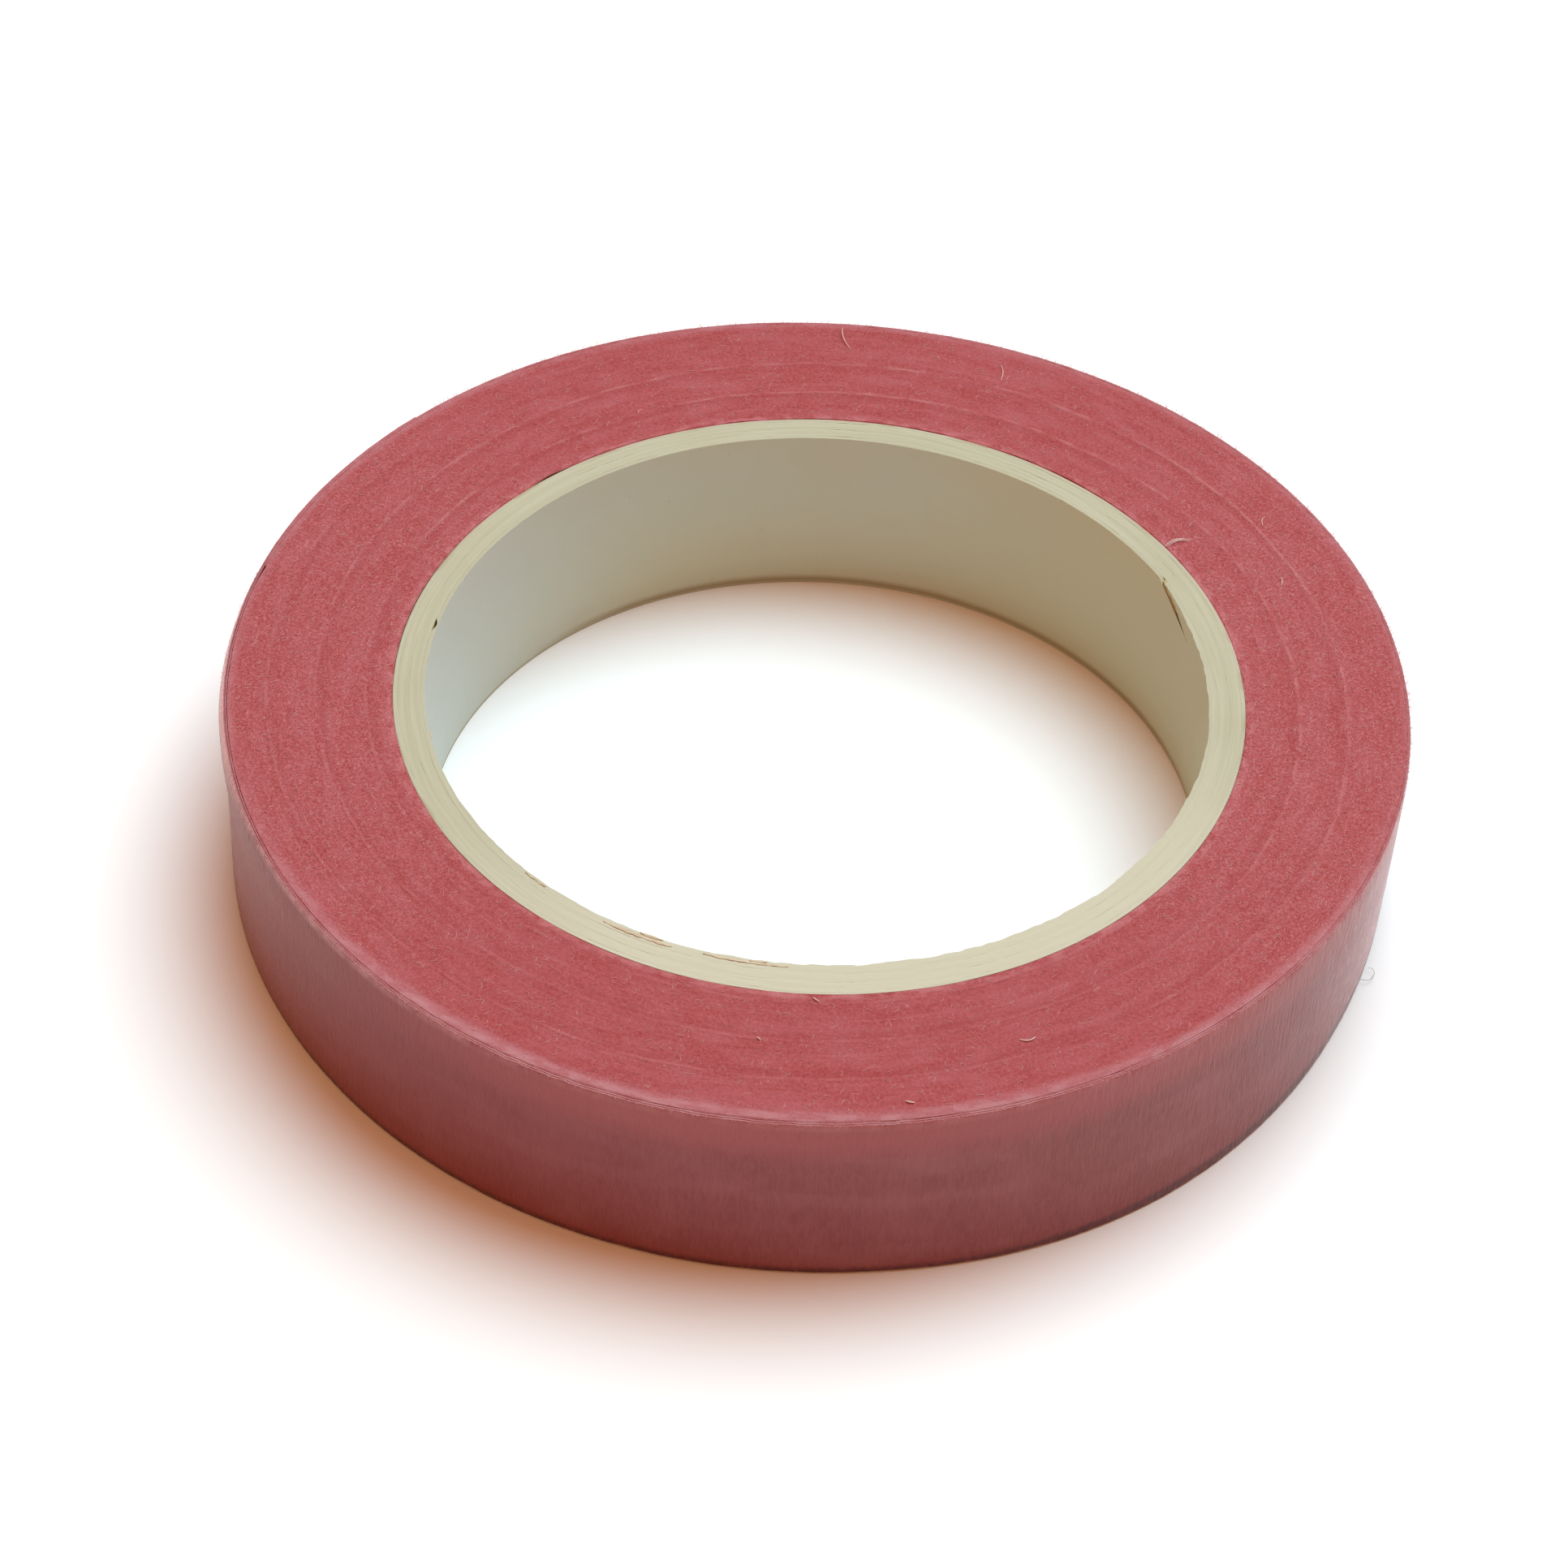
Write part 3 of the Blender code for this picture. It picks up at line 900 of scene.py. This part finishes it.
def face_height(radius, angle):
    """Height of the slit face: uneven turns, a crease, and a shoulder at its rim."""
    turn = angle / FULL_TURN
    ring = radius / (18 * MM)
    uneven = (0.020 * value_noise(1, turn, ring + turn / 130, 60, 130)
              + 0.018 * value_noise(2, turn, ring, 420, 146)
              + 0.030 * value_noise(3, turn, ring, 7, 19)
              + 0.030 * crease_ridge(radius, angle))
    return WIDTH - shoulder_fall(radius, angle) + uneven * MM


# The first turn lifts off the tube at the strip's square end and beside it: height
# and the stretch's start and end.
FIRST_TURN_INSIDE = TUBE_RADIUS + 0.02 * MM
FIRST_TURN_LIFTS = ((0.28 * MM, math.radians(129.0), math.radians(137.5)),
                    (0.05 * MM, math.radians(146), math.radians(188)))


def first_turn_radius(angle):
    """Inner radius of the first turn, which wanders a little round the tube."""
    lift = sum(height * bump_window(angle, start, end)
               for height, start, end in FIRST_TURN_LIFTS)
    return FIRST_TURN_INSIDE + 0.02 * MM * round_noise(31, angle, 24) + lift


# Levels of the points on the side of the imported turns, down from their rim.
PACK_LEVELS = np.array([WIDTH - 0.55 * MM, WIDTH - 0.9 * MM, 0.75 * WIDTH, WIDTH / 2,
                        0.25 * WIDTH, 0.8 * MM, 0.2 * MM])


def make_pack(face):
    """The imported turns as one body, whose face shows them, with both rims eased."""
    columns, across_count = 720, 124
    angle = np.linspace(0, FULL_TURN, columns, endpoint=False)[:, None]
    across = np.linspace(0, 1, across_count)
    inner = first_turn_radius(angle) + TAPE_THICKNESS + PACK_CLEARANCE
    radius = inner + (pack_outer(angle, WIDTH) - inner) * across
    top = polar(radius, angle, face_height(radius, angle))
    outside = polar(pack_outer(angle, PACK_LEVELS), angle, PACK_LEVELS)
    under = np.linspace(1, 0, 8) ** 0.5
    foot = pack_outer(angle, 0) - PACK_FOOT_ROUNDING
    bottom = polar(inner + (foot - inner) * under, angle, 0.0)
    inside = polar(inner, angle, np.array([0.3, 0.97]) * WIDTH)
    sections = np.concatenate([top, outside, bottom, inside], axis=1)
    piece = loft("tape_turns", sections, (face,), True)
    fix(piece, "crepe_paper", "tape_packed_turns")


def strip_sections(running, outside, low, high, outer_levels, inner_levels):
    """Sections of a thin strip: up its outer side and down its inner side."""
    height = low + (high - low) * outer_levels
    up = polar(outside(running, height), running, height)
    height = low + (high - low) * inner_levels[::-1]
    down = polar(outside(running, height) - TAPE_THICKNESS, running, height)
    return np.concatenate([up, down], axis=1)


def make_first_turn(face):
    """The strip's first turn, a thin spiral against the tube."""
    running = np.linspace(TAPE_START - FULL_TURN, TAPE_START, 720)[:, None]

    def outside(angle, height):
        return first_turn_radius(angle) + TAPE_THICKNESS + 0 * height

    levels = np.linspace(0, 1, 4)
    high = WIDTH - 0.04 * MM + 0.04 * MM * round_noise(33, running, 80)
    sections = strip_sections(running, outside, OFF_TABLE, high, levels, levels)
    piece = loft("tape_first_turn_edge", sections, (face,), False)
    fix(piece, "crepe_paper", "tape_first_turn")


FOLD_DEPTH = 0.026 * MM
FINE_FOLD_DEPTH = 0.012 * MM


def crepe_folds(running, height):
    """Height of the crepe paper's folds, which run across the strip."""
    turn, rise = running / FULL_TURN, height / WIDTH * 0.9
    sway = 0.0006 * value_noise(20, turn, rise, 90, 7)
    wide = value_noise(21, turn + sway, rise, 720, 8)
    fine = value_noise(22, turn + sway, rise, 1300, 12)
    calm = 0.75 + 0.25 * value_noise(23, turn, rise, 9, 3)
    return (FOLD_DEPTH * (0.4 - np.abs(wide)) + FINE_FOLD_DEPTH * fine) * calm


def strip_outside(running, height):
    """Outer surface of the wound strip, leaning in near its slit edges."""
    return strip_radius(running, height) - edge_bend(running, height) + crepe_folds(running, height)


# Levels of a strip's points as shares of its height, closer where it bends.
OUTER_LEVELS = np.concatenate([[0, 0.02], np.linspace(0.07, 0.76, 11),
                               [0.82, 0.87, 0.905, 0.93, 0.95, 0.97, 0.983, 0.993, 1]])
INNER_LEVELS = np.array([0, 0.484, 0.622, 0.691, 0.76, 0.87, 0.95, 1])


def strip_piece(name, node, start, end, columns, inner_levels, materials):
    """A stretch of the wound strip with its slit edges, crepe side and sticky side."""
    running = np.linspace(start, end, columns)[:, None]
    edge = strip_radius(running, WIDTH) - edge_bend(running, WIDTH) - TAPE_THICKNESS / 2
    top = WIDTH - shoulder_fall(edge, running) + 0.03 * MM * round_noise(35, running, 300)
    turns_in = (running - FREE_END) / FULL_TURN
    low = (0.26 - 0.08 * turns_in) * MM + 0.05 * MM * round_noise(36, running, 160)
    sections = strip_sections(running, strip_outside, low, top, OUTER_LEVELS, inner_levels)
    slots = [1] * (len(OUTER_LEVELS) - 1) + [0] + [2] * (len(inner_levels) - 1) + [0]
    piece = loft(name, sections, materials, False, slots)
    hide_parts(node)
    return piece


def make_outer_turns(face, wall, sticky):
    """The two loose turns on the roll, and the free end as a row of pieces."""
    materials = (face, wall, sticky)
    turn_1 = strip_piece("tape_outer_turn", "tape_outer_turn_1", TAIL_ROOT,
                         TAIL_ROOT + FULL_TURN, 3200, INNER_LEVELS, materials)
    turn_2 = strip_piece("tape_second_turn", "tape_outer_turn_2", TAIL_ROOT + FULL_TURN,
                         TAIL_ROOT + 2 * FULL_TURN, 1400, INNER_LEVELS, materials)
    for turn in (turn_1, turn_2):
        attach(turn, BODIES[0])
    for number, root in enumerate(HINGE_ANGLES):
        tip = root - SEGMENT_SWEEP
        piece = strip_piece(f"free_end_strip_{number + 1}", f"tape_tail_{number + 1}",
                            tip, root, 60, OUTER_LEVELS, materials)
        ends = [Vector(polar(strip_radius(a), a, WIDTH / 2).ravel()) for a in (root, tip)]
        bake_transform(piece)


# ------ loose fibres
def curly_paths(rng, radius, angle, length, bend, steps):
    """Curly paths on the plane, mostly along the turns: radius and angle, hairs x steps."""
    hairs = len(radius)
    heading = (angle + math.pi / 2 + rng.normal(0, 0.55, hairs))[:, None]
    turning = rng.normal(0, bend, (hairs, steps)).cumsum(axis=1)
    curl = rng.normal(0, bend, hairs)[:, None] * np.arange(steps)
    way = heading + turning * 0.6 + curl
    stride = (length / (steps - 1))[:, None]
    x = radius[:, None] * np.cos(angle)[:, None] + np.cumsum(stride * np.cos(way), axis=1)
    y = radius[:, None] * np.sin(angle)[:, None] + np.cumsum(stride * np.sin(way), axis=1)
    return np.hypot(x, y), np.arctan2(y, x)


# Fibres of the face begin between two radii and curl no further than two others.
FIBRE_ROOTS = (41.6 * MM, 56.2 * MM)
FIBRE_LIMITS = (41.4 * MM, 56.5 * MM)


def make_face_fibres(material):
    """Short paper fibres lying loose on the upper slit face."""
    rng = np.random.default_rng(51)
    hairs, steps = 3600, 6
    radius = np.sqrt(rng.uniform(FIBRE_ROOTS[0] ** 2, FIBRE_ROOTS[1] ** 2, hairs))
    angle = rng.uniform(0, FULL_TURN, hairs)
    length = rng.uniform(0.30, 0.95, hairs) * MM
    radius, angle = curly_paths(rng, radius, angle, length, 0.45, steps)
    radius = np.clip(radius, *FIBRE_LIMITS)
    arch = np.sin(np.linspace(0, np.pi, steps)) * rng.uniform(0, 0.05, hairs)[:, None] * MM
    height = face_height(radius, angle) + arch + 0.008 * MM
    half_width = rng.uniform(0.010, 0.026, hairs) * MM
    paths = polar(radius, angle, height)
    fix(fibres("face_fibres", paths, half_width, material), "crepe_paper")


def make_edge_fuzz(material):
    """Fine hairs that stand off the slit edge of the outermost turn."""
    rng = np.random.default_rng(52)
    hairs, steps = 2600, 5
    angle = TAIL_ROOT + rng.uniform(0.02, FULL_TURN - SEGMENTS * SEGMENT_SWEEP - 0.02, hairs)
    root = strip_radius(angle, WIDTH) - edge_bend(angle, WIDTH) - 0.06 * MM
    level = WIDTH - shoulder_fall(root, angle) - 0.03 * MM
    reach = rng.uniform(0.12, 0.60, hairs) * MM
    steep = rng.uniform(0.1, 1.4, hairs)
    sideways = rng.normal(0, 0.5, hairs)
    out = np.linspace(0, 1, steps) ** 1.2
    curl = 0.25 * np.sin(np.linspace(0, 2.5, steps) + rng.uniform(0, 6, hairs)[:, None])
    radius = root[:, None] + (reach * np.cos(steep))[:, None] * out
    height = level[:, None] + (reach * np.sin(steep))[:, None] * out
    turned = angle[:, None] + (reach * sideways)[:, None] * (out + curl * out) / ROLL_RADIUS
    half_width = rng.uniform(0.008, 0.014, hairs) * MM
    paths = polar(radius, turned, height)
    fix(fibres("edge_fuzz", paths, half_width, material), "crepe_paper")


# Bits of lint on the face: both ends (angle in degrees, radius in mm), then bow,
# rise and half width in mm. The feather is five barbs that fan out.
LINT_LEVEL = WIDTH + 0.06 * MM
FEATHER_BARBS = (-1.0, -0.5, 0.0, 0.5, 1.0)
BARB_HALF_WIDTH = 0.028
LINT_STRANDS = (((88.4, 53.0), (89.4, 56.5), -0.35, 0.25, 0.050),
                ((70.5, 51.8), (71.4, 54.2), 0.2, 0.1, 0.045),
                ((22.0, 48.8), (23.4, 49.3), 0.1, 0.15, 0.055),
                ((32.0, 51.6), (33.2, 52.6), -0.2, 0.1, 0.04),
                ((293.0, 49.5), (294.7, 49.7), 0.35, 0.1, 0.07),
                ((279.8, 54.5), (280.6, 54.8), 0.1, 0.1, 0.08),
                ((265.0, 47.0), (265.4, 47.3), 0.05, 0.1, 0.08),
                ((271.0, 41.6), (271.8, 42.1), 0.1, 0.15, 0.07))


def lint_arc(start, end, bow, rise, steps=14):
    """A bowed path over the face between two points of a bit of lint."""
    share = np.linspace(0, 1, steps)[:, None]
    ends = [polar(r * MM, math.radians(a), LINT_LEVEL) for a, r in (start, end)]
    line = ends[0] + (ends[1] - ends[0]) * share
    along = (ends[1] - ends[0]) / np.linalg.norm(ends[1] - ends[0])
    aside = np.cross(along, (0, 0, 1))
    arch = np.sin(np.pi * share)
    return line + aside * bow * MM * arch + np.array((0, 0, rise * MM)) * arch


def make_lint(pale):
    """The few bigger bits of lint on the face."""
    barbs = [((34.75 + 0.28 * k, 41.1 + 0.3 * abs(k)), (34.1 + 0.20 * k, 44.2 - 0.4 * abs(k)),
              -0.35, 0.12, BARB_HALF_WIDTH) for k in FEATHER_BARBS]
    bits = barbs + list(LINT_STRANDS)
    paths = np.stack([lint_arc(*bit[:4]) for bit in bits])
    half_width = np.array([bit[4] for bit in bits]) * MM
    fix(fibres("face_lint", paths, half_width, pale), "crepe_paper")


# The hair loops round this place: radius in mm and angle in degrees.
HAIR_RADIUS, HAIR_ANGLE = 56.72, 343.25
HAIR_HALF_WIDTH = 0.026 * MM


def make_wall_hair(grey):
    """A curled hair at the right foot of the wall: most of a loop, with a lead-in."""
    swing = np.radians(np.linspace(-55, 215, 40))
    lead_in = np.linspace(1, 0, 40) ** 6
    radius = (HAIR_RADIUS + 0.50 * np.sin(swing) - 0.45 * lead_in) * MM
    angle = np.radians(HAIR_ANGLE - 0.85 * np.cos(swing) - 0.45 * lead_in)
    loop = polar(radius, angle, 0.45 * MM)
    hair = fibres("wall_hair", loop[None], np.array([HAIR_HALF_WIDTH]), grey)
    fix(hair, "crepe_paper")


# ------ stage and camera
CAMERA_DISTANCE = 0.47085
CAMERA_ELEVATION = math.radians(43.94)
CAMERA_PITCH = math.radians(43.34)
CAMERA_YAW = math.radians(0.52)
CAMERA_ROLL = math.radians(2.36)
CAMERA_DROP = 0.2 * MM
LENS = 108.8
SENSOR_WIDTH = 36

KEY_FROM = (0.524, 0.806, 1.926)
KEY_SIZE = 1.98
KEY_POWER = 69.5
KEY_COLOUR = (0.62, 0.91, 1.02)
ROOM_COLOUR = (0.54, 0.235, 0.112, 1.0)
ROOM_STRENGTH = 1.18
BACKDROP = (0.96, 0.96, 0.96, 1.0)


def make_floor():
    f = Finish("floor", 0.9)
    tone = f.noise(f.node("ShaderNodeTexCoord").outputs["Object"], scale=4.0)
    f.finish(f.mix(tone, FLOOR, FLOOR_PALE), None)
    bpy.ops.mesh.primitive_plane_add(size=6)
    floor = bpy.context.object
    floor.name = "floor"
    floor.data.materials.append(f.material)


def make_camera():
    camera_data = bpy.data.cameras.new("camera")
    camera_data.sensor_width = SENSOR_WIDTH
    camera_data.lens = LENS
    camera_data.clip_start, camera_data.clip_end = 0.01, 20
    camera = bpy.data.objects.new("camera", camera_data)
    bpy.context.scene.collection.objects.link(camera)
    camera.matrix_world = (
        Matrix.Translation((0, -CAMERA_DISTANCE * math.cos(CAMERA_ELEVATION),
                            CAMERA_DISTANCE * math.sin(CAMERA_ELEVATION) - CAMERA_DROP))
        @ Matrix.Rotation(CAMERA_YAW, 4, "Z")
        @ Matrix.Rotation(math.pi / 2 - CAMERA_PITCH, 4, "X")
        @ Matrix.Rotation(CAMERA_ROLL, 4, "Z"))
    bpy.context.scene.camera = camera


def make_lights():
    """A big soft lamp at the back right in a dim warm room before a white backdrop."""
    data = bpy.data.lights.new("key", "AREA")
    data.shape = "DISK"
    data.size = KEY_SIZE
    data.energy = KEY_POWER
    data.color = KEY_COLOUR
    lamp = bpy.data.objects.new("key", data)
    lamp.location = KEY_FROM
    lamp.rotation_euler = (-Vector(KEY_FROM)).to_track_quat("-Z", "Y").to_euler()
    bpy.context.scene.collection.objects.link(lamp)

    world = bpy.data.worlds.new("studio")
    world.use_nodes = True
    nodes, links = world.node_tree.nodes, world.node_tree.links
    room = nodes["Background"]
    room.inputs["Color"].default_value = ROOM_COLOUR
    room.inputs["Strength"].default_value = ROOM_STRENGTH
    backdrop = nodes.new("ShaderNodeBackground")
    backdrop.inputs["Color"].default_value = BACKDROP
    choose = nodes.new("ShaderNodeMixShader")
    links.new(nodes.new("ShaderNodeLightPath").outputs["Is Camera Ray"], choose.inputs["Fac"])
    links.new(room.outputs["Background"], choose.inputs[1])
    links.new(backdrop.outputs["Background"], choose.inputs[2])
    links.new(choose.outputs["Shader"], nodes["World Output"].inputs["Surface"])
    bpy.context.scene.world = world
    bpy.context.scene.view_settings.view_transform = "Standard"


def main():
    face, wall, sticky = face_finish(), wall_finish(), sticky_finish()
    board, liner, kraft, torn = board_finish(), liner_finish(), kraft_finish(), torn_finish()
    rose_lint = lint_finish("rose_fibres", ROSE_FIBRE, FLUFF)
    pale_lint = lint_finish("lint", LINT, LINT_DEEP)
    grey_hair = lint_finish("grey_hair", HAIR_GREY, HAIR_PALE)
    make_core(board, liner, kraft)
    make_seam(kraft)
    make_shreds(torn)
    make_pack(face)
    make_first_turn(face)
    make_outer_turns(face, wall, sticky)
    make_face_fibres(rose_lint)
    make_edge_fuzz(rose_lint)
    make_lint(pale_lint)
    make_wall_hair(grey_hair)
    make_floor()
    make_camera()
    make_lights()


main()
